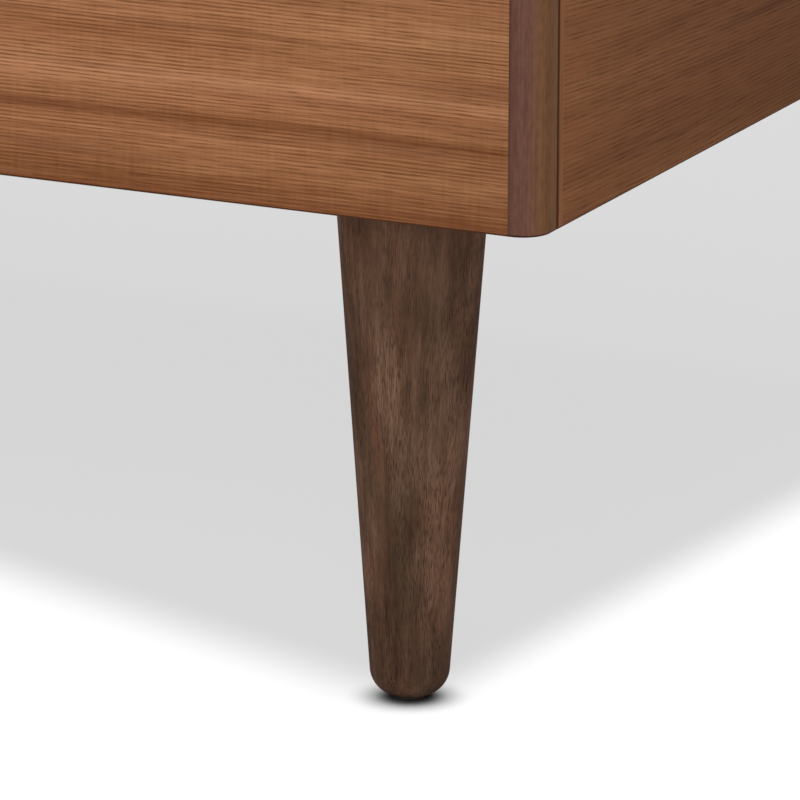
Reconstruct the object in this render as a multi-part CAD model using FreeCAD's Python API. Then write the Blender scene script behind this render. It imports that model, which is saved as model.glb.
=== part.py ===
"""A two-drawer bedside table: veneered case with solid-wood lippings, four turned legs, and two
drawers on telescopic ball slides.

Frame: millimetres, +Z up, X to the right, the drawers open towards -Y. The origin is on the floor, at the
middle of the whole object, knobs included.
"""
import FreeCAD, Part

import math
import os

V = FreeCAD.Vector
X_AXIS = V(1, 0, 0)
Y_AXIS = V(0, 1, 0)
Z_AXIS = V(0, 0, 1)

# ---------------------------------------------------------------- driving dimensions
WIDTH = 480.0
DEPTH = 430.0  # front face to back edge, without the knobs
HEIGHT = 560.0
CASE_BOTTOM = 146.0  # clear height under the case
BOARD = 15.0  # sides, bottom and middle rail
FRONT_T = 12.0  # drawer fronts
TOP_BOARD = 18.0
LIPPING = 8.8  # width of the solid lippings
CORNER_R = 8.0  # plan radius of the front corners
EASE = 0.7  # softened edges of the boards
TOP_EASE = 2.0
FRONT_GAP = 1.4  # drawer front to the case's front edges
ROW_GAP = 3.0  # between the two drawer fronts
UNDER_TOP_GAP = 2.0
EDGE_STRIP = 2.5  # solid strip on the front edge of each side panel
FIT = 0.05  # radial room round every pin, dowel and screw

KNOB_OUT = 24.0
KNOB_FOOT_R = 9.0
KNOB_NECK_R = 6.5
KNOB_HEAD_R = 16.0

LEG_FROM_FRONT = 44.0  # leg axis to the front and back faces
LEG_FROM_SIDE = 57.5
LEG_TOP_R = 21.0
LEG_FOOT_R = 10.5
LEG_FOOT_ROUND = 8.0
PLATE = 60.0
PLATE_T = 2.5
GLIDE_R = 4.5
GLIDE_T = 0.8

BACK_T = 4.0
BACK_RECESS = 6.0
REBATE = 8.0

BOX_WALL = 12.0
BOX_HEIGHT = 140.0
BOX_LENGTH = 380.0
BOX_ABOVE_FRONT = 27.0  # bottom of the box above the bottom of its front
BOX_BOTTOM_T = 4.0
BOX_GROOVE = 6.0  # depth of the groove that holds the bottom
BOX_GROOVE_UP = 8.0  # the groove above the lower edge of the walls
BOX_RIM_R = 1.5  # rounded upper edges of the walls

SLIDE_T = 12.7
SLIDE_LENGTH = 350.0
SLIDE_SETBACK = 2.0
SLIDE_STEEL = 1.2
BALL_R = 1.75
CAGE_T = 0.5
CAGE_WEB_T = 0.4
CAGE_LENGTH = 150.0

# ---------------------------------------------------------------- worked out from them
HALF = WIDTH / 2
INNER = HALF - BOARD  # inner face of a side panel
Y_FRONT = -(DEPTH + KNOB_OUT) / 2 + KNOB_OUT
Y_BACK = Y_FRONT + DEPTH
Y_FRONT_BACK = Y_FRONT + FRONT_T  # back of the drawer fronts
Y_CASE = Y_FRONT_BACK + FRONT_GAP  # front edges of the case
Y_BOARD_BACK = Y_BACK - BACK_RECESS - BACK_T
TOP_UNDER = HEIGHT - TOP_BOARD
FRONT_HEIGHT = (TOP_UNDER - UNDER_TOP_GAP - CASE_BOTTOM - ROW_GAP) / 2
FRONT_BOTTOM = {"lower": CASE_BOTTOM, "upper": CASE_BOTTOM + FRONT_HEIGHT + ROW_GAP}
RAIL_MIDDLE = CASE_BOTTOM + FRONT_HEIGHT + ROW_GAP / 2
RAIL_DEPTH = 70.0
BOX_HALF = INNER - SLIDE_T
LEG_X = HALF - LEG_FROM_SIDE
LEG_YS = (Y_FRONT + LEG_FROM_FRONT, Y_BACK - LEG_FROM_FRONT)
SLIDE_Y = Y_CASE + SLIDE_SETBACK
SIDES = {"left": -1, "right": 1}

PARTS = {}


def keep(name, *solids):
    """Adds solids to the node of that name."""
    PARTS.setdefault(name, []).extend(solids)


# ---------------------------------------------------------------- small helpers
def box(x0, x1, y0, y1, z0, z1):
    return Part.makeBox(x1 - x0, y1 - y0, z1 - z0, V(x0, y0, z0))


def mirrored_box(side, x0, x1, y0, y1, z0, z1):
    """A box between two distances from the middle plane, on the side asked for."""
    xs = sorted((side * x0, side * x1))
    return box(xs[0], xs[1], y0, y1, z0, z1)


def place(shape, point, direction):
    """A copy of a shape made along +Z from the origin, moved to run from point along direction."""
    moved = shape.copy()
    moved.Placement = FreeCAD.Placement(point, FreeCAD.Rotation(Z_AXIS, direction))
    return moved


def turned(points):
    """A solid of revolution about Z.

    A point is (radius, height). A pair of points is an arc, as (a point on its way, its end).
    """
    start = V(points[0][0], 0, points[0][1])
    first = start
    edges = []
    for item in points[1:]:
        if isinstance(item[0], tuple):
            through = V(item[0][0], 0, item[0][1])
            end = V(item[1][0], 0, item[1][1])
            edges.append(Part.Arc(start, through, end).toShape())
        else:
            end = V(item[0], 0, item[1])
            edges.append(Part.makeLine(start, end))
        start = end
    edges.append(Part.makeLine(start, first))
    return Part.Face(Part.Wire(edges)).revolve(V(0, 0, 0), Z_AXIS, 360)


def eased(solid, radius, wanted):
    """Rounds the edges for which wanted(edge) is true."""
    return solid.makeFillet(radius, [e for e in solid.Edges if wanted(e)])


def runs_along(edge, axis):
    if not isinstance(edge.Curve, Part.Line):
        return False
    return abs(edge.tangentAt(edge.FirstParameter).dot(axis)) > 0.999


def near(a, b):
    return abs(a - b) < 1e-4


def flat_at(edge, z):
    """True for an edge that lies wholly at height z."""
    return near(edge.BoundBox.ZMin, z) and near(edge.BoundBox.ZMax, z)


def soft_slab(y0, y1, z0, z1, ease_low, ease_high):
    """A full-width board with both front corners rounded in plan and its front and side edges softened."""
    slab = box(-HALF, HALF, y0, y1, z0, z1)
    slab = eased(slab, CORNER_R, lambda e: runs_along(e, Z_AXIS) and near(e.BoundBox.YMin, y0))
    for height, radius in ((z0, ease_low), (z1, ease_high)):
        slab = eased(
            slab, radius, lambda e: flat_at(e, height) and not near(e.BoundBox.YMin, y1)
        )
    return slab


# ---------------------------------------------------------------- fasteners
SCREW_R = 1.75
SCREW_HEAD_R = 3.5
PAN_HEIGHT = 2.2
RECESS_DEPTH = 1.1


def cross_recess(head_r, top):
    arm = head_r * 0.55
    slot = 0.35 * arm
    one = box(-arm, arm, -slot, slot, top, top + RECESS_DEPTH)
    return one.fuse(box(-slot, slot, -arm, arm, top, top + RECESS_DEPTH))


def sunk_screw(length, room=0.0):
    """A countersunk screw whose head is flush at z = 0. With room, the hole that takes it."""
    shank = SCREW_R + room
    head = SCREW_HEAD_R + room
    end = length + room
    body = turned([(0, 0), (head, 0), (shank, head - shank), (shank, end - shank), (0, end)])
    return body if room else body.cut(cross_recess(SCREW_HEAD_R, 0))


def pan_screw(length, room=0.0, shank_r=SCREW_R, head_r=SCREW_HEAD_R):
    """A pan-head screw with its head below z = 0. With room, the hole that takes its shank."""
    shank = shank_r + room
    end = length + room
    if room:
        return turned([(0, 0), (shank, 0), (shank, end - shank), (0, end)])
    dome = ((head_r * 0.8, -PAN_HEIGHT * 0.75), (head_r, 0))
    body = turned([(0, -PAN_HEIGHT), dome, (shank, 0), (shank, end - shank), (0, end)])
    return body.cut(cross_recess(head_r, -PAN_HEIGHT))


CAM_R = 7.5
CAM_DEPTH = 12.5
CAM_REACH = 34.0  # board end to the centre of the cam
CAM_BOLT_R = 2.5
CAM_BOLT_HEAD_R = 3.5
CAM_BOLT_HEAD_BACK = 2.0  # the head's reach behind and in front of the cam's centre
CAM_BOLT_HEAD_FRONT = 1.5
CAM_BOLT_SHOULDER = 4.2  # where the head has tapered to the shank
CAM_HOLLOW_R = 4.55  # the room round the bolt's head inside the cam
CAM_TUNNEL_R = 4.0
CAM_BOLT_GRIP = 11.0
DOWEL_R = 4.0
DOWEL_IN_FACE = 10.0
DOWEL_IN_END = 20.0


def cam_joint(seam, into_end, cam_face):
    """The cam and bolt that pull a board's end against another board's face.

    seam is the bolt's point on the joint, into_end points into the board with the cam, and cam_face is
    the outward normal of the face that the cam is let into. Gives (cam, bolt, cuts in the end, cuts in
    the face).
    """
    centre = seam + into_end * CAM_REACH
    mouth = centre + cam_face * (BOARD / 2)
    inward = cam_face * -1
    cam = place(Part.makeCylinder(CAM_R - FIT, CAM_DEPTH - FIT), mouth, inward)
    cam = cam.cut(place(cross_recess(CAM_R, 0), mouth, inward))
    slot = place(Part.makeCylinder(CAM_TUNNEL_R, 2 * CAM_R), centre, into_end * -1)
    hollow = place(Part.makeSphere(CAM_HOLLOW_R), centre, into_end * -1)
    cam = cam.cut(slot).cut(hollow)
    cam = max(cam.Solids, key=lambda s: s.Volume)
    tip = CAM_REACH + CAM_BOLT_GRIP
    bolt = turned(
        [
            (0, -CAM_BOLT_HEAD_BACK),
            (CAM_BOLT_HEAD_R, -CAM_BOLT_HEAD_BACK),
            (CAM_BOLT_HEAD_R, CAM_BOLT_HEAD_FRONT),
            (CAM_BOLT_R, CAM_BOLT_SHOULDER),
            (CAM_BOLT_R, tip - CAM_BOLT_R),
            (0, tip),
        ]
    )
    bolt = place(bolt, centre, into_end * -1)
    pocket = place(Part.makeCylinder(CAM_R, CAM_DEPTH), mouth, inward)
    tunnel = place(Part.makeCylinder(CAM_TUNNEL_R, CAM_REACH), seam, into_end)
    grip_hole = Part.makeCylinder(CAM_BOLT_R + FIT, CAM_BOLT_GRIP + FIT)
    return cam, bolt, [pocket, tunnel], [place(grip_hole, seam, into_end * -1)]


def dowel_joint(seam, into_end):
    """A fluted glue dowel across a joint. Gives (dowel, cuts in the end, cuts in the face)."""
    start = seam - into_end * DOWEL_IN_FACE
    dowel = Part.makeCylinder(DOWEL_R, DOWEL_IN_FACE + DOWEL_IN_END)
    dowel = dowel.makeChamfer(1.0, [e for e in dowel.Edges if isinstance(e.Curve, Part.Circle)])
    in_end = place(Part.makeCylinder(DOWEL_R + FIT, DOWEL_IN_END + FIT), seam, into_end)
    in_face = place(Part.makeCylinder(DOWEL_R + FIT, DOWEL_IN_FACE + FIT), seam, into_end * -1)
    return place(dowel, start, into_end), [in_end], [in_face]


# ---------------------------------------------------------------- the case
class Case:
    """The boards of the case, gathered first and drilled as the fittings are added."""

    def __init__(self):
        self.cuts = {"top": [], "left": [], "right": [], "bottom": [], "rail": []}

    def join(self, seam, into_end, cam_face, end_board, face_board, dowels):
        """A cam at seam with dowels beside it, at the offsets given."""
        cam, bolt, in_end, in_face = cam_joint(seam, into_end, cam_face)
        keep("cam_discs", cam)
        keep("cam_bolts", bolt)
        self.cuts[end_board] += in_end
        self.cuts[face_board] += in_face
        for offset in dowels:
            dowel, dowel_end, dowel_face = dowel_joint(seam + offset, into_end)
            keep("dowels", dowel)
            self.cuts[end_board] += dowel_end
            self.cuts[face_board] += dowel_face


def case_joints(case):
    """Cams and dowels of the case. The outer dowels are level with the legs, between the plates' screws."""
    cam_ys = (Y_CASE + 110.0, Y_BOARD_BACK - 110.0)
    rail_y = Y_CASE + RAIL_DEPTH / 2
    for name, side in SIDES.items():
        inward = V(-side, 0, 0)
        for y, leg_y in zip(cam_ys, LEG_YS):
            offset = V(0, leg_y - y, 0)
            low = V(side * INNER, y, CASE_BOTTOM + BOARD / 2)
            case.join(low, inward, Z_AXIS * -1, "bottom", name, [offset])
            high = V(side * (INNER + BOARD / 2), y, TOP_UNDER)
            case.join(high, Z_AXIS * -1, inward, name, "top", [offset])
        middle = V(side * INNER, rail_y, RAIL_MIDDLE)
        beside = [V(0, -22.0, 0), V(0, 22.0, 0)]
        case.join(middle, inward, Z_AXIS * -1, "rail", name, beside)


def side_panels(case):
    for name, side in SIDES.items():
        outer = side * HALF
        panel = mirrored_box(side, INNER, HALF, Y_CASE, Y_BACK, CASE_BOTTOM, TOP_UNDER)
        panel = eased(
            panel,
            EASE,
            lambda e: (runs_along(e, Z_AXIS) and near(e.BoundBox.YMin, Y_CASE) or flat_at(e, CASE_BOTTOM))
            and near(e.BoundBox.XMin, outer)
            and near(e.BoundBox.XMax, outer),
        )
        rebate = mirrored_box(
            side, INNER, INNER + REBATE, Y_BOARD_BACK, Y_BACK, CASE_BOTTOM, TOP_UNDER
        )
        panel = panel.cut(rebate)
        strip_zone = box(-HALF, HALF, Y_CASE, Y_CASE + EDGE_STRIP, CASE_BOTTOM, TOP_UNDER)
        keep("side_edge_strips", panel.common(strip_zone))
        keep(name + "_side_panel", panel.cut(strip_zone).cut(case.cuts[name]))


def top_board(case):
    slab = soft_slab(Y_FRONT, Y_BACK, TOP_UNDER, HEIGHT, EASE, TOP_EASE)
    lip = HALF - LIPPING
    y_lip = Y_FRONT + LIPPING
    field = box(-lip, lip, y_lip, Y_BACK, TOP_UNDER, HEIGHT)
    keep("top_panel", slab.common(field).cut(case.cuts["top"]))
    front_zone = box(-HALF, HALF, Y_FRONT, y_lip, TOP_UNDER, HEIGHT)
    keep("top_front_lipping", slab.common(front_zone))
    for name, side in SIDES.items():
        zone = mirrored_box(side, lip, HALF, y_lip, Y_BACK, TOP_UNDER, HEIGHT)
        keep("top_" + name + "_lipping", slab.common(zone).cut(case.cuts["top"]))


def bottom_board(case):
    panel = box(-INNER, INNER, Y_CASE, Y_BOARD_BACK, CASE_BOTTOM, CASE_BOTTOM + BOARD)
    keep("bottom_panel", panel.cut(case.cuts["bottom"]))


def middle_rail(case):
    half = BOARD / 2
    rail = box(-INNER, INNER, Y_CASE, Y_CASE + RAIL_DEPTH, RAIL_MIDDLE - half, RAIL_MIDDLE + half)
    keep("middle_rail", rail.cut(case.cuts["rail"]))


def back_board(case):
    """The thin back, screwed into the rebates of the sides and the edge of the bottom board."""
    edge = INNER + REBATE - 0.5
    low = CASE_BOTTOM + 1.0
    back = box(-edge, edge, Y_BOARD_BACK, Y_BOARD_BACK + BACK_T, low, TOP_UNDER - 0.5)
    length = 15.0
    face = Y_BOARD_BACK + BACK_T
    at_side = INNER + REBATE / 2
    rows = 4
    step = (TOP_UNDER - CASE_BOTTOM - 60.0) / (rows - 1)
    spots = [
        (side * at_side, CASE_BOTTOM + 30.0 + step * row, name)
        for name, side in SIDES.items()
        for row in range(rows)
    ]
    spots += [(side * INNER / 2, CASE_BOTTOM + BOARD / 2, "bottom") for side in SIDES.values()]
    for x, z, board in spots:
        head = V(x, face, z)
        hole = place(pan_screw(length, FIT), head, Y_AXIS * -1)
        keep("back_panel_screws", place(pan_screw(length), head, Y_AXIS * -1))
        back = back.cut(hole)
        case.cuts[board].append(hole)
    keep("back_panel", back)


# ---------------------------------------------------------------- legs
LEG_TOP = CASE_BOTTOM - PLATE_T
LEG_LENGTH = LEG_TOP - GLIDE_T
BOLT_R = 4.0
BOLT_IN_LEG = 30.0
BOLT_IN_PLATE = 10.0
BOSS_R = 6.5
BOSS_HEIGHT = 8.5
NAIL_R = 1.0
NAIL_LENGTH = 12.0
PLATE_SCREW_OUT = 22.0
PLATE_SCREW_LENGTH = 12.0


def leg_shape():
    """A straight taper with a rounded foot, a bore for the bolt and one for the glide's nail."""
    slope = (LEG_TOP_R - LEG_FOOT_R) / LEG_LENGTH
    tilt = math.atan(slope)
    centre_r = LEG_FOOT_R + LEG_FOOT_ROUND * (slope - 1 / math.cos(tilt))
    centre_z = LEG_FOOT_ROUND
    touch = (centre_r + LEG_FOOT_ROUND * math.cos(tilt), centre_z - LEG_FOOT_ROUND * math.sin(tilt))
    halfway = (-math.pi / 2 - tilt) / 2
    through = (
        centre_r + LEG_FOOT_ROUND * math.cos(halfway),
        centre_z + LEG_FOOT_ROUND * math.sin(halfway),
    )
    leg = turned([(0, 0), (centre_r, 0), (through, touch), (LEG_TOP_R, LEG_LENGTH), (0, LEG_LENGTH)])
    bolt_hole = Part.makeCylinder(
        BOLT_R + FIT, BOLT_IN_LEG + 1.0, V(0, 0, LEG_LENGTH - BOLT_IN_LEG - 1.0)
    )
    nail_hole = Part.makeCylinder(NAIL_R + FIT, NAIL_LENGTH + 1.0)
    return leg.cut([bolt_hole, nail_hole])


def plate_shape():
    """A square steel plate with a threaded boss and four countersunk corners, its underside at z = 0."""
    half = PLATE / 2
    plate = box(-half, half, -half, half, 0, PLATE_T)
    plate = eased(plate, 8.0, lambda e: runs_along(e, Z_AXIS))
    plate = plate.fuse(Part.makeCylinder(BOSS_R, PLATE_T + BOSS_HEIGHT))
    return plate.cut(Part.makeCylinder(BOLT_R + FIT, PLATE_T + BOSS_HEIGHT))


def legs(case):
    glide = Part.makeCylinder(GLIDE_R, GLIDE_T).fuse(
        Part.makeCylinder(NAIL_R, NAIL_LENGTH, V(0, 0, GLIDE_T))
    )
    glide = eased(glide, 0.5, lambda e: isinstance(e.Curve, Part.Circle) and flat_at(e, 0))
    bolt = Part.makeCylinder(BOLT_R, BOLT_IN_LEG + BOLT_IN_PLATE)
    bolt = bolt.makeChamfer(0.8, [e for e in bolt.Edges if isinstance(e.Curve, Part.Circle)])
    offsets = (-PLATE_SCREW_OUT, PLATE_SCREW_OUT)
    corners = [(x, y) for x in offsets for y in offsets]
    for row, y in zip(("front", "rear"), LEG_YS):
        for name, side in SIDES.items():
            foot = V(side * LEG_X, y, GLIDE_T)
            under = V(side * LEG_X, y, LEG_TOP)
            keep(row + "_" + name + "_leg", place(leg_shape(), foot, Z_AXIS))
            keep("leg_glides", place(glide, V(foot.x, y, 0), Z_AXIS))
            keep("leg_hanger_bolts", place(bolt, under - V(0, 0, BOLT_IN_LEG), Z_AXIS))
            plate = place(plate_shape(), under, Z_AXIS)
            boss_hole = Part.makeCylinder(BOSS_R + 0.5, BOSS_HEIGHT + 1.5, V(foot.x, y, CASE_BOTTOM))
            case.cuts["bottom"].append(boss_hole)
            for dx, dy in corners:
                head = under + V(dx, dy, 0)
                hole = place(sunk_screw(PLATE_SCREW_LENGTH, FIT), head, Z_AXIS)
                plate = plate.cut(hole)
                case.cuts["bottom"].append(hole)
                keep("case_wood_screws", place(sunk_screw(PLATE_SCREW_LENGTH), head, Z_AXIS))
            keep("leg_plates", plate)


# ---------------------------------------------------------------- telescopic slides
CABINET_HALF = 22.5  # half heights of the three members
MIDDLE_HALF = 17.5
DRAWER_HALF = 12.5
MEMBER_SCREW_LENGTH = 12.0
MEMBER_SCREW_YS = (35.0, 165.0, 295.0)  # from the front end of a member


def member(outline, side, z, bends):
    """A rolled member of constant section. outline holds (depth from the side panel, height) points."""
    corners = [V(side * (INNER - depth), SLIDE_Y, z + height) for depth, height in outline]
    face = Part.Face(Part.makePolygon(corners + corners[:1]))
    solid = face.extrude(V(0, SLIDE_LENGTH, 0))

    def is_bend(edge):
        if not runs_along(edge, Y_AXIS):
            return False
        depth = INNER - abs(edge.BoundBox.Center.x)
        height = abs(edge.BoundBox.Center.z - z)
        return any(near(depth, d) and near(height, h) for d, h in bends)

    return eased(solid, SLIDE_STEEL * 0.6, is_bend)


def both_ways(upper_half):
    """Closes a section that is the same above and below the middle."""
    return upper_half + [(depth, -height) for depth, height in reversed(upper_half)]


def cabinet_member(side, z):
    steel = SLIDE_STEEL
    reach = 11.0
    lip = 2.4
    outline = both_ways(
        [
            (0, CABINET_HALF),
            (reach, CABINET_HALF),
            (reach, CABINET_HALF - lip),
            (reach - steel, CABINET_HALF - lip),
            (reach - steel, CABINET_HALF - steel),
            (steel, CABINET_HALF - steel),
        ]
    )
    return member(outline, side, z, [(0, CABINET_HALF), (reach, CABINET_HALF)])


def middle_member(side, z):
    steel = SLIDE_STEEL
    web = 2.0
    reach = 10.5
    outline = both_ways(
        [
            (web, MIDDLE_HALF),
            (reach, MIDDLE_HALF),
            (reach, MIDDLE_HALF - steel),
            (web + steel, MIDDLE_HALF - steel),
        ]
    )
    return member(outline, side, z, [(web, MIDDLE_HALF)])


def drawer_member(side, z):
    steel = SLIDE_STEEL
    tip = 4.0
    outline = both_ways(
        [
            (SLIDE_T, DRAWER_HALF),
            (tip, DRAWER_HALF),
            (tip, DRAWER_HALF - steel),
            (SLIDE_T - steel, DRAWER_HALF - steel),
        ]
    )
    return member(outline, side, z, [(SLIDE_T, DRAWER_HALF)])


def ball_cage(side, z, web_depth, reach, ball_depth, ball_height, start):
    """A strip bent to a C that spaces two rows of balls, and the balls."""
    half_strip = CAGE_T / 2
    top = ball_height + half_strip
    y0 = SLIDE_Y + start
    y1 = y0 + CAGE_LENGTH
    near_x = INNER - reach
    web_x = INNER - web_depth
    cage = mirrored_box(side, web_x - CAGE_WEB_T, web_x, y0, y1, z - top, z + top)
    for sign in (-1, 1):
        low = z + sign * ball_height - half_strip
        cage = cage.fuse(mirrored_box(side, near_x, web_x, y0, y1, low, low + CAGE_T))
    balls = []
    count = 8
    pitch = CAGE_LENGTH / count
    for sign in (-1, 1):
        for number in range(count):
            y = y0 + pitch * (number + 0.5)
            centre = V(side * (INNER - ball_depth), y, z + sign * ball_height)
            hole = Part.makeCylinder(BALL_R + FIT, 2.0, centre - V(0, 0, 1.0))
            cage = cage.cut(hole)
            balls.append(Part.makeSphere(BALL_R, centre))
    return [cage.removeSplitter()] + balls


def slides(row, z, case, box_cuts):
    """Both slides of a drawer, with their screws."""
    outer_ball = (CABINET_HALF - SLIDE_STEEL + MIDDLE_HALF) / 2
    inner_ball = (MIDDLE_HALF - SLIDE_STEEL + DRAWER_HALF) / 2
    cage_start = SLIDE_LENGTH * 0.25 + 12.0
    for name, side in SIDES.items():
        fixed = cabinet_member(side, z)
        moving = drawer_member(side, z)
        for offset in MEMBER_SCREW_YS:
            y = SLIDE_Y + offset
            outward = V(side, 0, 0)
            fixed_head = V(side * (INNER - SLIDE_STEEL), y, z)
            hole = place(sunk_screw(MEMBER_SCREW_LENGTH, FIT), fixed_head, outward)
            fixed = fixed.cut(hole)
            case.cuts[name].append(hole)
            keep("case_wood_screws", place(sunk_screw(MEMBER_SCREW_LENGTH), fixed_head, outward))
            moving_head = V(side * (BOX_HALF + SLIDE_STEEL), y, z)
            hole = place(pan_screw(MEMBER_SCREW_LENGTH - 1.0, FIT), moving_head, outward * -1)
            moving = moving.cut(hole)
            box_cuts[name].append(hole)
            screw = place(pan_screw(MEMBER_SCREW_LENGTH - 1.0), moving_head, outward * -1)
            keep(row + "_drawer_screws", screw)
        keep(row + "_" + name + "_cabinet_member", fixed)
        keep(row + "_" + name + "_middle_member", middle_member(side, z))
        keep(row + "_" + name + "_drawer_member", moving)
        outer = ball_cage(side, z, 1.4, 9.0, 6.0, outer_ball, cage_start)
        inner = ball_cage(side, z, 3.4, 9.5, 7.0, inner_ball, cage_start)
        keep(row + "_outer_ball_cages", *outer)
        keep(row + "_inner_ball_cages", *inner)


# ---------------------------------------------------------------- drawers
KNOB_SCREW_R = 2.0
KNOB_SCREW_IN = 12.0
FRONT_SCREW_GRIP = 9.0  # how far the screws from inside the box bite into the front


def cap_through(rim_r, rim_z, top_z):
    """A point on the shallow cap arc that is level at its crown (0, top_z) and ends at (rim_r, rim_z)."""
    rise = top_z - rim_z
    radius = (rim_r**2 + rise**2) / (2 * rise)
    angle = math.asin(rim_r / radius) / 2
    return radius * math.sin(angle), top_z - radius * (1 - math.cos(angle))


def knob_shape():
    """A turned knob: a waisted stem that opens to a rounded head with a shallow domed face."""
    stem_top = KNOB_OUT * 0.5
    rim_z = KNOB_OUT * 0.7
    face_r = KNOB_HEAD_R - 1.5
    face_z = KNOB_OUT - 3.5
    knob = turned(
        [
            (0, 0),
            (KNOB_FOOT_R, 0),
            ((KNOB_NECK_R, KNOB_OUT * 0.25), (KNOB_FOOT_R + 0.5, stem_top)),
            ((KNOB_HEAD_R - 2.4, KNOB_OUT * 0.56), (KNOB_HEAD_R, rim_z)),
            ((KNOB_HEAD_R - 0.15, face_z - 1.4), (face_r, face_z)),
            (cap_through(face_r, face_z, KNOB_OUT), (0, KNOB_OUT)),
        ]
    )
    return knob.cut(Part.makeCylinder(KNOB_SCREW_R + FIT, KNOB_SCREW_IN + 1.0))


def drawer_front(row, cuts):
    low = FRONT_BOTTOM[row]
    slab = soft_slab(Y_FRONT, Y_FRONT_BACK, low, low + FRONT_HEIGHT, EASE, EASE)
    lip = HALF - LIPPING
    field = box(-lip, lip, Y_FRONT, Y_FRONT_BACK, low, low + FRONT_HEIGHT)
    keep(row + "_front_panel", slab.common(field).cut(cuts))
    for name, side in SIDES.items():
        zone = mirrored_box(side, lip, HALF, Y_FRONT, Y_FRONT_BACK, low, low + FRONT_HEIGHT)
        keep(row + "_front_" + name + "_lipping", slab.common(zone))


def box_corner_screws(row, low, cuts):
    """Countersunk screws through the sides into the ends of the box's front and back walls."""
    length = 35.0
    walls = {
        "front": Y_FRONT_BACK + BOX_WALL / 2,
        "back": Y_FRONT_BACK + BOX_LENGTH - BOX_WALL / 2,
    }
    for name, side in SIDES.items():
        for wall, y in walls.items():
            for height in (25.0, BOX_HEIGHT - 20.0):
                head = V(side * BOX_HALF, y, low + height)
                hole = place(sunk_screw(length, FIT), head, V(-side, 0, 0))
                cuts[name].append(hole)
                cuts[wall].append(hole)
                screw = place(sunk_screw(length), head, V(-side, 0, 0))
                keep(row + "_drawer_screws", screw)


def front_fixings(row, low, cuts):
    """Four screws from inside the box into the drawer front, and the knob with its long screw."""
    y_inside = Y_FRONT_BACK + BOX_WALL
    middle = low + BOX_HEIGHT / 2
    for x in (-150.0, 150.0):
        for dz in (-35.0, 35.0):
            head = V(x, y_inside, middle + dz)
            length = BOX_WALL + FRONT_SCREW_GRIP
            hole = place(pan_screw(length, FIT), head, Y_AXIS * -1)
            cuts["front"].append(hole)
            cuts["panel"].append(hole)
            keep(row + "_drawer_screws", place(pan_screw(length), head, Y_AXIS * -1))
    knob_z = FRONT_BOTTOM[row] + FRONT_HEIGHT / 2
    head = V(0, y_inside, knob_z)
    length = BOX_WALL + FRONT_T + KNOB_SCREW_IN
    hole = place(pan_screw(length, FIT, KNOB_SCREW_R), head, Y_AXIS * -1)
    cuts["front"].append(hole)
    cuts["panel"].append(hole)
    keep(row + "_knob_screw", place(pan_screw(length, 0.0, KNOB_SCREW_R, 4.0), head, Y_AXIS * -1))
    keep(row + "_knob", place(knob_shape(), V(0, Y_FRONT, knob_z), Y_AXIS * -1))


def drawer_box(row, low, cuts):
    y0 = Y_FRONT_BACK
    y1 = y0 + BOX_LENGTH
    inside = BOX_HALF - BOX_WALL
    high = low + BOX_HEIGHT
    panel_low = low + BOX_GROOVE_UP
    reach = BOX_GROOVE
    bottom = box(
        -inside - reach,
        inside + reach,
        y0 + BOX_WALL - reach,
        y1 - BOX_WALL + reach,
        panel_low,
        panel_low + BOX_BOTTOM_T,
    )
    keep(row + "_box_bottom", bottom)
    walls = {
        "front": box(-inside, inside, y0, y0 + BOX_WALL, low, high),
        "back": box(-inside, inside, y1 - BOX_WALL, y1, low, high),
        "left": box(-BOX_HALF, -inside, y0, y1, low, high),
        "right": box(inside, BOX_HALF, y0, y1, low, high),
    }
    for name, wall in walls.items():
        length_axis = Y_AXIS if name in SIDES else X_AXIS
        wall = eased(wall, BOX_RIM_R, lambda e: flat_at(e, high) and runs_along(e, length_axis))
        suffix = "_side" if name in SIDES else ""
        keep(row + "_box_" + name + suffix, wall.cut([bottom] + cuts[name]))


def drawer(row, case):
    low = FRONT_BOTTOM[row] + BOX_ABOVE_FRONT
    cuts = {"front": [], "back": [], "left": [], "right": [], "panel": []}
    box_corner_screws(row, low, cuts)
    front_fixings(row, low, cuts)
    slides(row, low + BOX_HEIGHT / 2, case, cuts)
    drawer_box(row, low, cuts)
    drawer_front(row, cuts["panel"])


# ---------------------------------------------------------------- assembly
def build():
    case = Case()
    case_joints(case)
    legs(case)
    back_board(case)
    for row in FRONT_BOTTOM:
        drawer(row, case)
    side_panels(case)
    top_board(case)
    bottom_board(case)
    middle_rail(case)


def export():
    os.makedirs("parts", exist_ok=True)
    for name, solids in PARTS.items():
        found = [s for item in solids for s in item.Solids]
        shape = found[0] if len(found) == 1 else Part.makeCompound(found)
        shape.exportStep(os.path.join("parts", name + ".step"))
    print(len(PARTS), "nodes,", sum(len(s) for s in PARTS.values()), "pieces")


build()
export()
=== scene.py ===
import math

import bmesh
import bpy
from mathutils import Matrix, Vector


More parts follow.
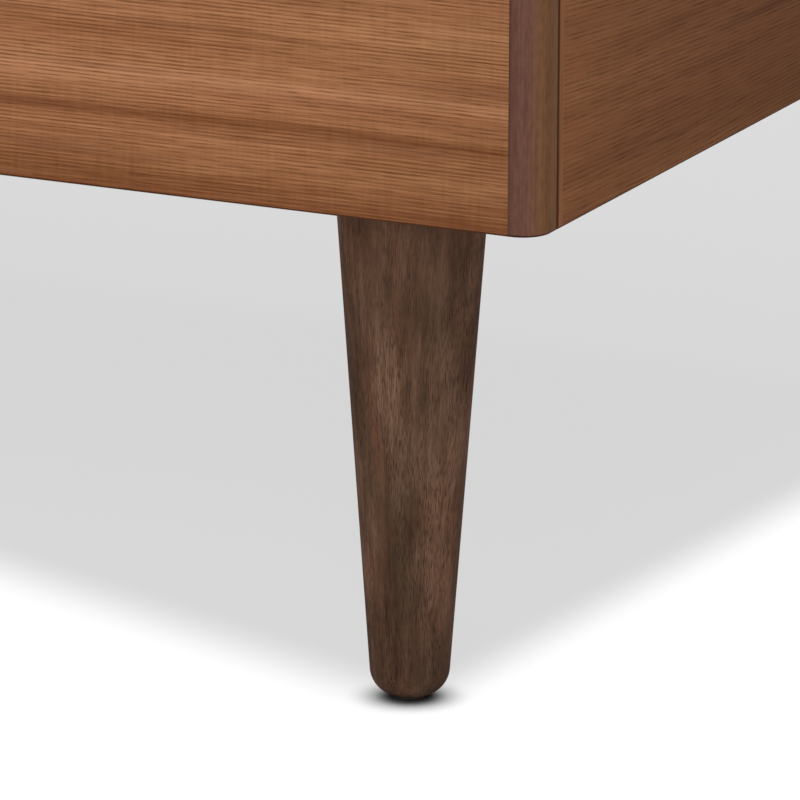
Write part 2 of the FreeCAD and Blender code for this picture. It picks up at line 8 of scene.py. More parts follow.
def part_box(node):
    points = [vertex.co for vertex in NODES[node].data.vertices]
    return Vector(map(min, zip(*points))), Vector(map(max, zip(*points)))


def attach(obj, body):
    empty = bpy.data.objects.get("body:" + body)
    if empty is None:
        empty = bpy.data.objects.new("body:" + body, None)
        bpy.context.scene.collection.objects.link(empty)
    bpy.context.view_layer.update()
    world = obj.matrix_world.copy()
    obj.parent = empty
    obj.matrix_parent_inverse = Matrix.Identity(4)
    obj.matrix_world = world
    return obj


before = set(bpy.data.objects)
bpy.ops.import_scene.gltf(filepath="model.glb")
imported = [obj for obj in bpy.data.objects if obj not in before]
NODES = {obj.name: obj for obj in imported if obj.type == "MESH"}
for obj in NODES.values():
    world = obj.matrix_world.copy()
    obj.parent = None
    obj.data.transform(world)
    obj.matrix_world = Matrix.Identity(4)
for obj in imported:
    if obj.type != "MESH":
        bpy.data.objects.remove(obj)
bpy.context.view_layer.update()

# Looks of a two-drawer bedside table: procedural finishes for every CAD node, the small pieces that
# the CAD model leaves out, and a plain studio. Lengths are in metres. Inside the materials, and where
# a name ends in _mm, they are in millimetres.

ROWS = ("lower", "upper")
MM = 0.001
CASE_LOW, CASE_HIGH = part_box("right_side_panel")  # their x are its inner and outer faces


# ---------------------------------------------------------------- node graphs
class Graph:
    """One material's node tree, with short calls for the nodes that the finishes are made of."""

    def __init__(self, name):
        self.material = bpy.data.materials.new(name)
        self.material.use_nodes = True
        self.tree = self.material.node_tree
        self.tree.nodes.clear()
        self.shader = self.node("ShaderNodeBsdfPrincipled")
        output = self.node("ShaderNodeOutputMaterial")
        self.tree.links.new(self.shader.outputs["BSDF"], output.inputs["Surface"])

    def node(self, kind, **settings):
        made = self.tree.nodes.new(kind)
        for key, value in settings.items():
            setattr(made, key, value)
        return made

    def feed(self, socket, value):
        if isinstance(value, bpy.types.NodeSocket):
            self.tree.links.new(value, socket)
        else:
            socket.default_value = value

    def math(self, operation, a, b=0.0):
        made = self.node("ShaderNodeMath", operation=operation)
        self.feed(made.inputs[0], a)
        self.feed(made.inputs[1], b)
        return made.outputs[0]

    def total(self, *weighted):
        """The sum of (socket, weight) pairs."""
        result = 0.0
        for socket, weight in weighted:
            made = self.node("ShaderNodeMath", operation="MULTIPLY_ADD")
            self.feed(made.inputs[0], socket)
            self.feed(made.inputs[1], weight)
            self.feed(made.inputs[2], result)
            result = made.outputs[0]
        return result

    def spread(self, value, low, high, to_low=0.0, to_high=1.0):
        """value moved from the range low to high onto the range to_low to to_high, and held inside it."""
        made = self.node("ShaderNodeMapRange")
        for index, number in enumerate((low, high, to_low, to_high), start=1):
            made.inputs[index].default_value = number
        self.feed(made.inputs[0], value)
        return made.outputs[0]

    def soft_step(self, value, low, high):
        """0 up to low, 1 from high, and a smooth rise between them."""
        made = self.node("ShaderNodeMapRange", interpolation_type="SMOOTHSTEP")
        made.inputs[1].default_value = low
        made.inputs[2].default_value = high
        self.feed(made.inputs[0], value)
        return made.outputs[0]

    def vector(self, x, y, z):
        made = self.node("ShaderNodeCombineXYZ")
        for socket, value in zip(made.inputs, (x, y, z)):
            self.feed(socket, value)
        return made.outputs[0]

    def noise(self, vector, detail=2.0, roughness=0.5):
        made = self.node("ShaderNodeTexNoise")
        self.feed(made.inputs["Vector"], vector)
        made.inputs["Scale"].default_value = 1.0
        made.inputs["Detail"].default_value = detail
        made.inputs["Roughness"].default_value = roughness
        return made.outputs["Fac"]

    def ramp(self, value, *stops):
        made = self.node("ShaderNodeValToRGB")
        elements = made.color_ramp.elements
        while len(elements) < len(stops):
            elements.new(0.5)
        for element, (place, colour) in zip(elements, stops):
            element.position = place
            element.color = (*colour, 1.0)
        self.feed(made.inputs[0], value)
        return made.outputs[0]

    def mix(self, share, a, b):
        made = self.node("ShaderNodeMix", data_type="RGBA")
        self.feed(made.inputs[0], share)
        self.feed(made.inputs[6], a if isinstance(a, bpy.types.NodeSocket) else (*a, 1.0))
        self.feed(made.inputs[7], b if isinstance(b, bpy.types.NodeSocket) else (*b, 1.0))
        return made.outputs[2]

    def place_mm(self):
        """The point on the piece at rest in the shared frame, as x, y and z in millimetres."""
        coordinates = self.node("ShaderNodeTexCoord")
        scale = self.node("ShaderNodeVectorMath", operation="SCALE")
        self.feed(scale.inputs[0], coordinates.outputs["Object"])
        scale.inputs["Scale"].default_value = 1000.0
        split = self.node("ShaderNodeSeparateXYZ")
        self.feed(split.inputs[0], scale.outputs[0])
        return split.outputs

    def facing(self):
        """The x, y and z of the surface's outward direction."""
        geometry = self.node("ShaderNodeNewGeometry")
        split = self.node("ShaderNodeSeparateXYZ")
        self.feed(split.inputs[0], geometry.outputs["Normal"])
        return split.outputs

    def bump(self, height, distance_mm, strength=1.0):
        made = self.node("ShaderNodeBump")
        made.inputs["Strength"].default_value = strength
        made.inputs["Distance"].default_value = distance_mm * MM
        self.feed(made.inputs["Height"], height)
        self.feed(self.shader.inputs["Normal"], made.outputs[0])

    def set(self, **values):
        """Sets the shader's own inputs. An underscore in a name stands for a space."""
        for key, value in values.items():
            self.feed(self.shader.inputs[key.replace("_", " ")], value)


# ---------------------------------------------------------------- wood
class Grain:
    """Places in a piece of wood, in millimetres: along the grain, across it, and through the board.

    wave is how far the grain wanders. fan is how much the lines tilt, per millimetre of height above
    the case's underside. The tilt levels off over TILT_HEIGHT.
    """

    TILT_HEIGHT = 120.0

    def __init__(self, graph, axes, seed=0.0, wave=1.0, fan=0.0):
        self.graph = graph
        sockets = dict(zip("xyz", graph.place_mm()))
        along, across, through = (sockets[axis] for axis in axes)
        self.along = along
        self.through = through
        self.seed = seed
        if fan:
            height = graph.math("SUBTRACT", across, CASE_LOW.z / MM)
            tilt = graph.math("DIVIDE", height, graph.total((height, 1 / self.TILT_HEIGHT), (1.0, 1.0)))
            across = graph.total((across, 1.0), (graph.math("MULTIPLY", along, tilt), fan))
        slow = graph.noise(self.at(across, 160.0, 55.0), detail=1.0)
        self.across = graph.total((slow, 2 * wave), (across, 1.0))

    def at(self, across, length, width, offset=0.0):
        """A point for a noise whose features are length long and width wide."""
        g = self.graph
        return g.vector(
            g.total((self.along, 1.0 / length), (1.0, self.seed + offset)),
            g.math("DIVIDE", across, width),
            g.math("DIVIDE", self.through, width),
        )

    def streaks(self, length, width, detail=2.0, offset=0.0, low=0.3, high=0.7):
        """Noise drawn out along the grain, spread over 0 to 1."""
        noise = self.graph.noise(self.at(self.across, length, width, offset), detail)
        return self.graph.spread(noise, low, high)


def underside_shade_and_worn_rims(g, colour, dark):
    """Paints shade onto the downward-facing underside of a piece, and wears its eased upper edges a little
    lighter.
    """
    up = g.facing()[2]
    # painted shade: faces turned downwards mix towards the dark colour
    painted_underside_shade = g.spread(up, -0.02, -0.22, 0.0, 0.92)
    colour = g.mix(painted_underside_shade, colour, dark)
    rim = g.math("MULTIPLY", g.spread(up, 0.15, 0.5), g.spread(up, 0.99, 0.8))
    return g.mix(g.math("MULTIPLY", rim, 0.22), colour, (0.50, 0.27, 0.15))


def veneer_tone(g, grain, seed, contrast):
    """The veneer's light and dark, from bands, streaks and faint cross marks, and its fine part alone."""
    bands = grain.streaks(480.0, 10.0, detail=1.0)
    streak = grain.streaks(90.0, 2.3, offset=3.1)
    fine = grain.streaks(16.0, 0.30, offset=7.7)
    across_run = g.vector(g.math("DIVIDE", grain.along, 1.4), g.math("DIVIDE", grain.across, 16.0), seed)
    tone = g.total(
        (1.0, 0.5 - 0.475 * contrast),
        (bands, 0.30 * contrast),
        (streak, 0.16 * contrast),
        (fine, 0.26 * contrast),
        (g.noise(across_run), 0.18 * contrast),
    )
    return tone, fine


def growth_lines(g, grain):
    """Even growth lines that come and go, and the wave that they lie in the troughs of."""
    line_pitch = 1.06
    wander = grain.streaks(34.0, 2.4, detail=1.0, offset=5.3)
    swing = g.math("SINE", g.total((grain.across, math.tau / line_pitch), (wander, 1.8)))
    zone = grain.streaks(80.0, 6.0, detail=1.0, offset=9.9, low=0.38, high=0.62)
    broken = grain.streaks(12.0, 0.8, offset=14.0, low=0.34, high=0.62)
    lines = g.math("MULTIPLY", g.spread(swing, 0.2, -0.9), g.total((zone, 0.60), (1.0, 0.40)))
    return g.math("MULTIPLY", lines, g.total((broken, 0.5), (1.0, 0.5))), swing


def veneer(
    name,
    axes,
    seed,
    painted_shade_tint=(1, 1, 1),
    contrast=1.0,
    ripple=1.0,
    fan=0.0,
    wave=1.2,
    pore_length=6.5,
    pore_depth=0.40,
    marks=(),
    painted_shade_along_grain=None,
):
    """Stained open-pored veneer: even growth lines, dark pore dashes, and bands of two hues.

    The factor on each colour channel paints shade onto the whole veneer. Each of marks is a lighter or
    darker band, as its place across the grain, half its width and how much it adds to the tone. The
    darkening function, where given, takes the place along the grain and gives how much painted shade darkens
    the veneer there.
    """

    # painted shade: the factor on each colour channel darkens the whole veneer, making the side panels a
    # darker copy of the front veneer
    def shade(*colour):
        return [channel * factor for channel, factor in zip(colour, painted_shade_tint)]

    g = Graph(name)
    grain = Grain(g, axes, seed=seed, wave=wave, fan=fan)
    hue = grain.streaks(240.0, 13.0, detail=1.0, offset=17.0)
    tone, fine = veneer_tone(g, grain, seed, contrast)
    for middle, half_width, weight in marks:
        off = g.math("ABSOLUTE", g.math("SUBTRACT", grain.across, middle + wave))
        mark = g.math("MULTIPLY", g.spread(off, half_width, 0.0), g.total((hue, 0.5), (1.0, 0.5)))
        tone = g.total((tone, 1.0), (mark, weight))
    colour = g.ramp(
        tone,
        (0.12, shade(0.150, 0.053, 0.018)),
        (0.38, shade(0.260, 0.110, 0.046)),
        (0.58, shade(0.362, 0.164, 0.074)),
        (0.88, shade(0.515, 0.258, 0.125)),
    )
    colour = g.mix(g.math("MULTIPLY", hue, 0.34), colour, shade(0.300, 0.108, 0.055))
    smudge = grain.streaks(80.0, 4.0, offset=21.0, low=0.54, high=0.74)
    colour = g.mix(g.math("MULTIPLY", smudge, 0.45), colour, shade(0.160, 0.062, 0.034))
    lines, swing = growth_lines(g, grain)
    colour = g.mix(g.math("MULTIPLY", lines, 0.66 * ripple), colour, shade(0.125, 0.042, 0.013))
    dashes = grain.streaks(pore_length, 0.26, detail=0.0, offset=11.0, low=0.52, high=0.64)
    pores = g.math("MULTIPLY", dashes, g.spread(swing, 0.6, -0.5))
    colour = g.mix(g.math("MULTIPLY", pores, pore_depth), colour, shade(0.085, 0.032, 0.013))
    # painted shade: where a darkening function is given, the veneer mixes towards black along the grain
    if painted_shade_along_grain:
        colour = g.mix(painted_shade_along_grain(g, grain.along), colour, (0.0, 0.0, 0.0))
    colour = underside_shade_and_worn_rims(g, colour, (0.050, 0.018, 0.008))
    g.set(Base_Color=colour, Roughness=g.spread(tone, 0.2, 0.9, 0.52, 0.42), Specular_IOR_Level=0.01)
    g.bump(g.total((lines, -0.35), (fine, 0.25), (pores, -0.8)), 0.05)
    return g.material


def lipping(name, axes, seed, glue_line=None):
    """Solid wood lipping: close grained, purple brown on its face and a lighter olive brown round its outer
    side, where the lightness is a painted highlight.

    glue_line is how far from the middle of the case its joint with the veneered board lies.
    """
    g = Graph(name)
    grain = Grain(g, axes, seed=seed, wave=0.6)
    bands = grain.streaks(260.0, 4.0, detail=1.0)
    lines = grain.streaks(60.0, 0.7, offset=5.0)
    mottle = grain.streaks(3.2, 0.9, detail=3.0, offset=44.0)
    tone = g.total((bands, 0.40), (lines, 0.28), (mottle, 0.32))
    face = g.ramp(tone, (0.1, (0.082, 0.036, 0.026)), (0.9, (0.158, 0.072, 0.053)))
    # painted highlight: faces turned sideways take the lighter olive-brown ramp
    side = g.ramp(tone, (0.1, (0.112, 0.051, 0.023)), (0.9, (0.210, 0.098, 0.043)))
    sideways_highlight = g.math("ABSOLUTE", g.facing()[0])
    colour = g.mix(g.spread(sideways_highlight, 0.52, 1.0), face, side)
    smudge = grain.streaks(22.0, 3.0, offset=31.0, low=0.60, high=0.76)
    colour = g.mix(g.math("MULTIPLY", smudge, 0.45), colour, (0.075, 0.036, 0.022))
    if glue_line:
        near_glue = g.spread(g.math("ABSOLUTE", g.place_mm()[0]), glue_line, glue_line + 1.5, 0.50, 0.0)
        colour = g.mix(near_glue, colour, (0.045, 0.020, 0.014))
    colour = underside_shade_and_worn_rims(g, colour, (0.030, 0.012, 0.009))
    g.set(Base_Color=colour, Roughness=g.spread(lines, 0.0, 1.0, 0.44, 0.38), Specular_IOR_Level=0.01)
    g.bump(lines, 0.015)
    return g.material


def edge_strip(name):
    """The strip on the side panels' front edge: pale outside, with painted shade on its front face, where it
    meets the gap.
    """
    g = Graph(name)
    grain = Grain(g, "zxy", seed=4.0, wave=0.4)
    lines = grain.streaks(50.0, 0.6)
    colour = g.ramp(lines, (0.1, (0.205, 0.082, 0.036)), (0.9, (0.275, 0.114, 0.052)))
    # painted shade: the front face, which looks into the gap, is darkened
    gap_shade = g.spread(g.facing()[1], -0.3, -0.9)
    colour = g.mix(g.math("MULTIPLY", gap_shade, 0.85), colour, (0.045, 0.018, 0.010))
    colour = underside_shade_and_worn_rims(g, colour, (0.050, 0.018, 0.008))
    g.set(Base_Color=colour, Roughness=0.45, Specular_IOR_Level=0.01)
    g.bump(lines, 0.015)
    return g.material


def turned_walnut(name, seed):
    """Dark turned walnut: upright streaks, short open pores, olive and red-brown clouds, and painted shade
    on the feet.
    """
    g = Graph(name)
    grain = Grain(g, "zxy", seed=seed, wave=2.0)
    clouds = grain.streaks(34.0, 12.0, offset=6.3, low=0.34, high=0.66)
    olive = grain.streaks(46.0, 13.0, offset=8.0, low=0.44, high=0.62)
    red = grain.streaks(60.0, 6.0, offset=15.0, low=0.46, high=0.64)
    streak = grain.streaks(50.0, 1.7, offset=4.0)
    fine = grain.streaks(38.0, 0.28, offset=9.0)
    across_run = g.vector(g.math("DIVIDE", grain.along, 2.0), g.math("DIVIDE", grain.across, 9.0), seed)
    curl = g.noise(across_run)
    tone = g.total((clouds, 0.38), (streak, 0.26), (fine, 0.20), (curl, 0.12))
    colour = g.ramp(
        tone,
        (0.15, (0.038, 0.0195, 0.0110)),
        (0.50, (0.101, 0.054, 0.034)),
        (0.88, (0.200, 0.113, 0.073)),
    )
    colour = g.mix(g.math("MULTIPLY", red, 0.34), colour, (0.145, 0.062, 0.037))
    colour = g.mix(g.math("MULTIPLY", olive, 0.46), colour, (0.058, 0.038, 0.023))
    dashes = grain.streaks(17.0, 0.20, detail=0.0, offset=13.0, low=0.56, high=0.67)
    open_zone = grain.streaks(36.0, 9.0, detail=1.0, offset=27.0, low=0.38, high=0.60)
    pores = g.math("MULTIPLY", dashes, g.total((open_zone, 0.60), (1.0, 0.40)))
    colour = g.mix(g.math("MULTIPLY", pores, 0.62), colour, (0.017, 0.009, 0.006))
    # painted shade: the last few centimetres of the leg above the floor darken
    painted_foot_shade = g.spread(grain.along, 32.0, 3.0, 0.0, 0.34)
    colour = g.mix(painted_foot_shade, colour, (0.030, 0.015, 0.010))
    g.set(Base_Color=colour, Roughness=g.spread(fine, 0.0, 1.0, 0.56, 0.46), Specular_IOR_Level=0.005)
    g.bump(g.total((fine, 0.3), (pores, -0.8), (curl, 0.1)), 0.07)
    return g.material


def plain_wood(name, axes, seed, pale, deep, fleck=0.35):
    """Clear-lacquered pale wood with short darker flecks."""
    g = Graph(name)
    grain = Grain(g, axes, seed=seed, wave=4.0)
    bands = grain.streaks(300.0, 14.0)
    lines = grain.streaks(40.0, 1.2, offset=6.0)
    tone = g.total((bands, 0.6), (lines, 0.4))
    colour = g.ramp(tone, (0.15, deep), (0.85, pale))
    flecks = grain.streaks(3.0, 0.35, detail=0.0, offset=12.0, low=0.60, high=0.68)
    colour = g.mix(g.math("MULTIPLY", flecks, fleck), colour, [channel * 0.5 for channel in deep])
    g.set(Base_Color=colour, Roughness=g.spread(tone, 0.0, 1.0, 0.5, 0.4))
    g.bump(g.total((lines, 0.3), (flecks, -0.5)), 0.03)
    return g.material


def hardboard(name):
    """The thin back: printed brown on a finely pressed board."""
    g = Graph(name)
    x, y, z = g.place_mm()
    fibre = g.noise(g.vector(g.math("DIVIDE", x, 0.7), y, g.math("DIVIDE", z, 0.9)), detail=3.0)
    flecks = g.noise(g.vector(g.math("DIVIDE", x, 3.5), y, g.math("DIVIDE", z, 5.0)), detail=3.0)
    cloud = g.noise(g.vector(g.math("DIVIDE", x, 60.0), y, g.math("DIVIDE", z, 60.0)))
    tone = g.total((fibre, 0.4), (flecks, 0.4), (cloud, 0.2))
    g.set(Base_Color=g.ramp(tone, (0.35, (0.095, 0.045, 0.023)), (0.65, (0.200, 0.101, 0.054))))
    g.set(Roughness=g.spread(fibre, 0.3, 0.7, 0.55, 0.75))
    g.bump(fibre, 0.05)
    return g.material


# ---------------------------------------------------------------- metal and plastic
def metal(name, colour, roughness, brush=(0.5, 18.0, 0.5)):
    """Metal with marks drawn out along the longest of the three lengths in brush, and faint stains."""
    g = Graph(name)
    sockets = [g.math("DIVIDE", socket, size) for socket, size in zip(g.place_mm(), brush)]
    marks = g.noise(g.vector(*sockets))
    stains = g.noise(g.vector(*[g.math("DIVIDE", socket, 9.0) for socket in g.place_mm()]), detail=3.0)
    worn = [channel * 0.72 for channel in colour]
    g.set(Base_Color=g.mix(g.spread(stains, 0.4, 0.7, 0.0, 0.35), colour, worn), Metallic=1.0)
    g.set(Roughness=g.spread(marks, 0.3, 0.7, roughness - 0.07, roughness + 0.09))
    g.bump(marks, 0.012)
    return g.material


def moulded(name, colour, roughness, grain_mm=0.25):
    """Paint or plastic with a fine texture and slightly uneven colour."""
    g = Graph(name)
    texture = g.noise(g.vector(*[g.math("DIVIDE", socket, grain_mm) for socket in g.place_mm()]))
    cloud = g.noise(g.vector(*[g.math("DIVIDE", socket, 12.0) for socket in g.place_mm()]))
    deep = [channel * 0.8 for channel in colour]
    g.set(Base_Color=g.mix(g.spread(cloud, 0.35, 0.65), colour, deep))
    g.set(Roughness=g.spread(texture, 0.3, 0.7, roughness - 0.05, roughness + 0.05))
    g.bump(texture, 0.02)
    return g.material


# ---------------------------------------------------------------- finishes of the CAD nodes
def give(material, *names):
    for name in names:
        for slot in NODES[name].material_slots:
            slot.material = material


def names_with(*endings):
    return [name for name in NODES if name.endswith(endings)]


def painted_shade_at_ends(g, x):
    """Painted shade: a drawer front is a little darker towards its ends than in its middle."""
    end = CASE_HIGH.x / MM
    return g.spread(g.math("ABSOLUTE", x), end - 70.0, end - 10.0, 0.0, 0.13)


def painted_shade_towards_back(g, y):
    """Painted shade: a side panel darkens quickly behind its front edge, and then slowly."""
    front = CASE_LOW.y / MM
    return g.total((g.spread(y, front, front + 25.0), 0.09), (g.spread(y, front, front + 150.0), 0.27))


def front_marks(row, shift):
    """The bands on a drawer front: painted shade along its lower edge, and four grain bands that lie higher
    by shift.
    """
    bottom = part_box(row + "_front_panel")[0].z / MM
    bands = ((57.0, 3.0, -0.14), (33.5, 4.4, 0.34), (22.5, 2.2, -0.36), (17.0, 1.8, 0.16))
    marks = [(bottom + height + shift, half_width, weight) for height, half_width, weight in bands]
    # painted shade: a wide dark band along the front's lower edge
    return marks + [(bottom, 24.0, -0.38)]


def wood_finishes():
    for row, seed, shift in zip(ROWS, (0.0, 2.6), (0.0, 64.0)):
        marks = front_marks(row, shift)
        give(veneer(row + "_front_veneer", "xzy", seed, marks=marks, painted_shade_along_grain=painted_shade_at_ends), row + "_front_panel")
    side = veneer(
        "side_veneer",
        "yzx",
        5.0,
        # painted shade: the side veneer is a darker copy of the front veneer, for the side's lower light
        painted_shade_tint=(0.80, 0.73, 0.64),
        contrast=0.60,
        ripple=0.50,
        fan=0.0018,
        wave=3.0,
        pore_length=13.0,
        pore_depth=0.42,
        painted_shade_along_grain=painted_shade_towards_back,
    )
    give(side, "left_side_panel", "right_side_panel")
    give(veneer("flat_veneer", "xyz", 9.0), "top_panel", "bottom_panel", "middle_rail")
    glue_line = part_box("lower_front_right_lipping")[0].x / MM
    upright = lipping("upright_lipping", "zxy", 2.0, glue_line)
    give(upright, *names_with("_front_left_lipping", "_front_right_lipping"))
    give(lipping("top_front_lipping", "xyz", 3.0), "top_front_lipping")
    give(lipping("top_side_lipping", "yxz", 6.0), "top_left_lipping", "top_right_lipping")
    give(edge_strip("edge_strip"), "side_edge_strips")
    give(turned_walnut("leg_walnut", 1.0), *names_with("_leg"))
    give(turned_walnut("knob_walnut", 7.0), *names_with("_knob"))
    beech = ((0.600, 0.400, 0.235), (0.470, 0.285, 0.155))
    give(plain_wood("beech_sides", "yzx", 1.0, *beech), *names_with("box_left_side", "box_right_side"))
    give(plain_wood("beech_ends", "xzy", 2.0, *beech), *names_with("box_front", "box_back"))
    give(plain_wood("beech_dowels", "xyz", 3.0, *beech), "dowels")
    birch = ((0.680, 0.520, 0.340), (0.560, 0.400, 0.240))
    give(plain_wood("birch_ply", "xyz", 4.0, *birch, fleck=0.15), *names_with("box_bottom"))
    give(hardboard("back_hardboard"), "back_panel")


def metal_finishes():
    give(metal("zinc_steel", (0.60, 0.61, 0.63), 0.32), *names_with("_member"))
    give(metal("cage_steel", (0.52, 0.53, 0.55), 0.25, (2.0, 2.0, 2.0)), *names_with("_ball_cages"))
    give(moulded("black_plate", (0.022, 0.022, 0.024), 0.42), "leg_plates")
    screws = ["case_wood_screws", "back_panel_screws", "leg_hanger_bolts"]
    screws += names_with("_drawer_screws", "_knob_screw")
    give(metal("yellow_zinc", (0.62, 0.55, 0.38), 0.34, (1.5, 1.5, 1.5)), *screws)
    give(metal("cast_zinc", (0.42, 0.42, 0.43), 0.5, (0.6, 0.6, 0.6)), "cam_discs", "cam_bolts")
    give(moulded("glide_nylon", (0.030, 0.024, 0.020), 0.5), "leg_glides")


wood_finishes()
metal_finishes()


# ---------------------------------------------------------------- small pieces
def mesh_piece(name, shape, material, body):
    """Makes an object of a bmesh, which then rides on a body."""
    data = bpy.data.meshes.new(name)
    shape.to_mesh(data)
    shape.free()
    data.materials.append(material)
    piece = bpy.data.objects.new(name, data)
    bpy.context.collection.objects.link(piece)
    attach(piece, body)
    return piece


def lathe(profile, place, direction, steps=40):
    """A closed solid turned from (radius, height) points, standing at place and pointing along direction.

    The first and last points are on the axis.
    """
    shape = bmesh.new()
    rings = []
    for radius, height in profile[1:-1]:
        angles = [math.tau * step / steps for step in range(steps)]
        rings.append([shape.verts.new((radius * math.cos(a), radius * math.sin(a), height)) for a in angles])
    start = shape.verts.new((0, 0, profile[0][1]))
    end = shape.verts.new((0, 0, profile[-1][1]))
    for step in range(steps):
        after = (step + 1) % steps
        shape.faces.new((start, rings[0][after], rings[0][step]))
        shape.faces.new((end, rings[-1][step], rings[-1][after]))
        for low, high in zip(rings, rings[1:]):
            shape.faces.new((low[step], low[after], high[after], high[step]))
    for face in shape.faces:
        face.smooth = True
    turn = Vector((0, 0, 1)).rotation_difference(Vector(direction)).to_matrix().to_4x4()
    shape.transform(Matrix.Translation(place) @ turn)
    return shape


def dome(radius, height, base):
    """The profile of a shallow dome with a softened rim."""
    points = [(0.0, 0.0), (radius * 0.96, 0.0), (radius, base)]
    steps = 6
    for step in range(1, steps):
        angle = math.pi / 2 * step / steps
        points.append((radius * math.cos(angle), base + (height - base) * math.sin(angle)))
    return points + [(0.0, height)]


def bumpers():
    """Four clear domes on the back of each drawer front, in the gap to the case."""
    clear = Graph("bumper_clear")
    haze = clear.noise(clear.vector(*[clear.math("DIVIDE", s, 3.0) for s in clear.place_mm()]))
    clear.set(Base_Color=clear.ramp(haze, (0.3, (0.62, 0.62, 0.58)), (0.7, (0.74, 0.74, 0.70))))
    clear.set(Roughness=clear.spread(haze, 0.3, 0.7, 0.15, 0.3), Transmission_Weight=0.6)
    inset = 20 * MM
    profile = dome(radius=3.6 * MM, height=1.25 * MM, base=0.3 * MM)
    x = (CASE_HIGH.x + CASE_LOW.x) / 2
    for row in ROWS:
        low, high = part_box(row + "_front_panel")
        for level, z in (("low", low.z + inset), ("high", high.z - inset)):
            for name, side in (("left", -1), ("right", 1)):
                shape = lathe(profile, (side * x, high.y, z), (0, 1, 0))
                piece_name = "_".join((row, level, name, "bumper"))
                mesh_piece(piece_name, shape, clear.material, row + "_drawer")


def clusters(node, reach):
    """The lowest and highest corners of each separate solid in a node.

    Each solid is smaller than reach, and the gaps between them are larger.
    """
    groups = []
    for vertex in NODES[node].data.vertices:
        point = vertex.co
        for group in groups:
            if (group[0] - point).length < reach:
                group.append(point)
                break
        else:
            groups.append([point])
    found = []
    for group in groups:
        low = Vector([min(point[axis] for point in group) for axis in range(3)])
        high = Vector([max(point[axis] for point in group) for axis in range(3)])
        found.append((low, high))
    return sorted(found, key=lambda corners: tuple(corners[0]))


def cam_caps():
    """A thin brown cap on each cam, with a round dip in its middle.

    A cam in a side panel faces the inside of the case, and the others face down.
    """
    brown = moulded("cap_brown", (0.060, 0.030, 0.018), 0.45)
    radius = 8.6 * MM
    rise = 0.55 * MM
    profile = [(0.0, 0.0), (radius, 0.0), (radius, rise * 0.5), (radius * 0.93, rise)]
    profile += [(radius * 0.35, rise), (radius * 0.30, rise * 0.55), (0.0, rise * 0.5)]
    for number, (low, high) in enumerate(clusters("cam_discs", 24 * MM)):
        centre = (low + high) / 2
        if abs(centre.x) > CASE_LOW.x:
            side = math.copysign(1, centre.x)
            place, direction = (side * CASE_LOW.x, centre.y, centre.z), (-side, 0, 0)
        else:
            place, direction = (centre.x, centre.y, low.z), (0, 0, -1)
        mesh_piece("cam_cap_%02d" % number, lathe(profile, place, direction), brown, "case")


def bevelled_box(low, high, bevel):
    shape = bmesh.new()
    bmesh.ops.create_cube(shape, size=1.0)
    size = Vector(high) - Vector(low)
    middle = (Vector(high) + Vector(low)) / 2
    shape.transform(Matrix.Translation(middle) @ Matrix.Diagonal((*size, 1.0)))
    bmesh.ops.bevel(shape, geom=shape.edges[:], offset=bevel, segments=3, affect="EDGES", profile=0.5)
    return shape


def add_block(shape, low, high, bevel):
    """Adds a bevelled box to a bmesh."""
    block = bevelled_box(low, high, bevel)
    data = bpy.data.meshes.new("block")
    block.to_mesh(data)
    block.free()
    shape.from_mesh(data)
    bpy.data.meshes.remove(data)


def release_levers():
    """The black lever inside each drawer member, which frees the drawer from its slide.

    It is a thin arm with a finger pad at its front end and a catch at its back end.
    """
    black = moulded("lever_black", (0.018, 0.018, 0.019), 0.35)
    setback = 205 * MM
    clearance = 1.5 * MM
    # for the arm, pad and catch: start and end along the slide, half height, thickness and bevel, in mm
    blocks = ((0.0, 52.0, 2.6, 1.4, 0.5), (-6.0, 4.0, 5.0, 3.6, 1.1), (48.0, 58.0, 6.0, 2.2, 0.8))
    for row in ROWS:
        for name, side in (("left", -1), ("right", 1)):
            low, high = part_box("_".join((row, name, "drawer_member")))
            inner = min(abs(low.x), abs(high.x)) + clearance
            middle = (low.z + high.z) / 2
            front = low.y + setback
            lever = bmesh.new()
            for block in blocks:
                start, end, half_height, thickness, bevel = (length * MM for length in block)
                xs = sorted((side * inner, side * (inner + thickness)))
                corner = (xs[0], front + start, middle - half_height)
                opposite = (xs[1], front + end, middle + half_height)
                add_block(lever, corner, opposite, bevel)
            piece_name = "_".join((row, name, "release_lever"))
            mesh_piece(piece_name, lever, black, row + "_drawer")


bumpers()
cam_caps()
release_levers()


# ---------------------------------------------------------------- studio
def left_of_edge(g, x, y, foot_x, foot_y):
    """1 to the left of the shade's right-hand edge, which passes just right of the foot's middle."""
    past_foot = 7.5
    blur = 15.0
    lean = 0.051  # how far the edge goes to the right for each step back
    edge = g.total((y, lean), (1.0, foot_x + past_foot - lean * foot_y))
    return g.soft_step(g.math("SUBTRACT", edge, x), -blur, blur)


def behind_edge(g, x, y, foot_x, foot_y):
    """1 behind the shade's front edge, which passes just in front of the foot's middle."""
    past_foot = 5.9
    blur = 22.0
    turn = math.radians(22.6)
    across, back = math.sin(turn), math.cos(turn)
    reach = g.total((x, across), (y, back), (1.0, past_foot - foot_x * across - foot_y * back))
    return g.soft_step(reach, -blur, blur)


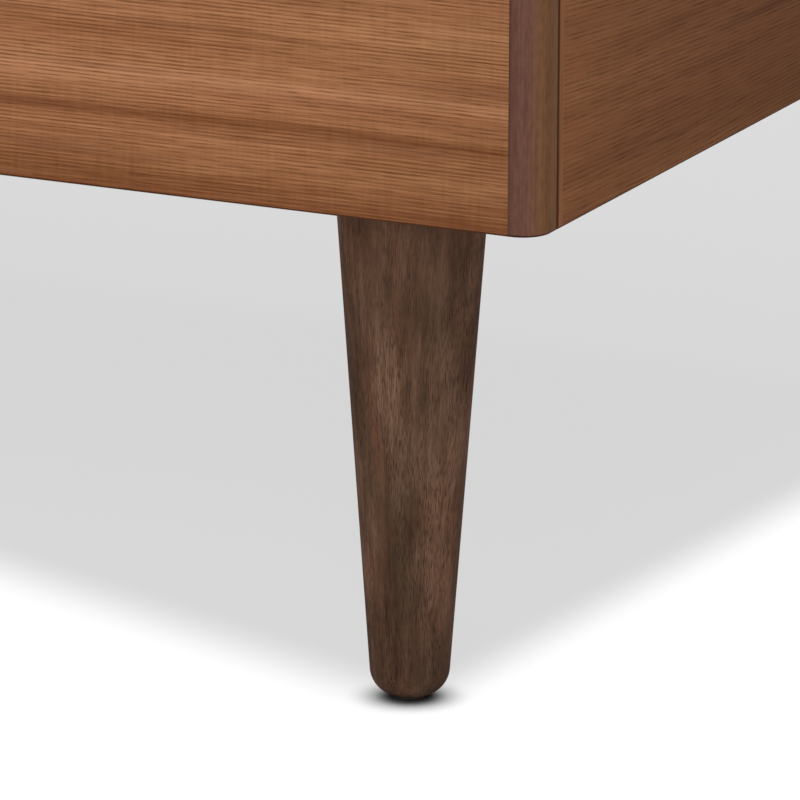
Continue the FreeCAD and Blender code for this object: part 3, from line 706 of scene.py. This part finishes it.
def studio_floor():
    """A pale floor, white in front and softly shaded under and behind the piece.

    The shade's edges meet near the front right leg: one runs nearly straight back, the other to the
    left and back. The shade is painted into the floor's own glow, so it stays where it is when the view
    moves. The glow also darkens under the feet, a painted contact shadow where little of its
    surroundings is open.
    """
    bpy.ops.mesh.primitive_plane_add(size=24.0)
    plane = bpy.context.object
    plane.name = "studio_floor"
    g = Graph("studio_floor")
    x, y, _ = g.place_mm()
    low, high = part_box("front_right_leg")
    foot_x = (low.x + high.x) / 2 / MM
    foot_y = (low.y + high.y) / 2 / MM
    shade = g.math("MULTIPLY", left_of_edge(g, x, y, foot_x, foot_y), behind_edge(g, x, y, foot_x, foot_y))
    # painted contact shadow: the floor's glow darkens where ambient occlusion finds the feet close
    contact = g.node("ShaderNodeAmbientOcclusion", samples=16)
    contact.inputs["Distance"].default_value = 10 * MM
    painted_contact_shadow = g.soft_step(contact.outputs["AO"], 0.19, 0.98)
    shade_depth = 0.343
    glow = g.math("MULTIPLY", g.total((1.0, 1.0), (shade, -shade_depth)), painted_contact_shadow)
    g.set(Base_Color=(0.10, 0.10, 0.10, 1.0), Roughness=0.9, Specular_IOR_Level=0.0)
    g.set(Emission_Color=(1.0, 1.0, 1.0, 1.0), Emission_Strength=glow)
    plane.data.materials.append(g.material)


def area_light(name, place, target, size, power):
    data = bpy.data.lights.new(name, "AREA")
    data.shape = "RECTANGLE"
    data.size, data.size_y = size
    data.energy = power
    lamp = bpy.data.objects.new(name, data)
    lamp.location = place
    lamp.rotation_euler = (Vector(target) - Vector(place)).to_track_quat("-Z", "Y").to_euler()
    bpy.context.collection.objects.link(lamp)


def studio():
    world = bpy.data.worlds.new("studio")
    world.use_nodes = True
    backdrop = world.node_tree.nodes["Background"]
    backdrop.inputs[0].default_value = (1.0, 1.0, 1.0, 1.0)
    backdrop.inputs[1].default_value = 0.15
    bpy.context.scene.world = world
    area_light("key", (0.70, -2.15, 1.20), (0, 0, 0.3), (1.4, 1.4), 30.0)
    area_light("overhead", (0, 0, 2.4), (0, 0, 0), (1.6, 1.6), 30.0)
    studio_floor()


def camera():
    """A long lens from the front right, a little above, aimed near the lower front right corner."""
    low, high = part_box("lower_front_right_lipping")
    aim_inward = 0.0401
    aim_height = 0.0974
    target = Vector((high.x - aim_inward, low.y, aim_height))
    azimuth, elevation, roll = (math.radians(angle) for angle in (25.295, 15.308, 0.289))
    distance = 2.6802
    back = Vector(
        (
            math.sin(azimuth) * math.cos(elevation),
            -math.cos(azimuth) * math.cos(elevation),
            math.sin(elevation),
        )
    )
    level = Vector((0, 0, 1)).cross(back).normalized()
    right = level * math.cos(roll) + back.cross(level) * math.sin(roll)
    up = back.cross(right)
    data = bpy.data.cameras.new("camera")
    data.sensor_width = 36.0
    data.lens = 450.0
    data.clip_start = 0.05
    eye = bpy.data.objects.new("camera", data)
    turn = Matrix((right, up, back)).transposed().to_4x4()
    eye.matrix_world = Matrix.Translation(target + back * distance) @ turn
    bpy.context.collection.objects.link(eye)
    bpy.context.scene.camera = eye


studio()
camera()
bpy.context.scene.view_settings.view_transform = "Standard"
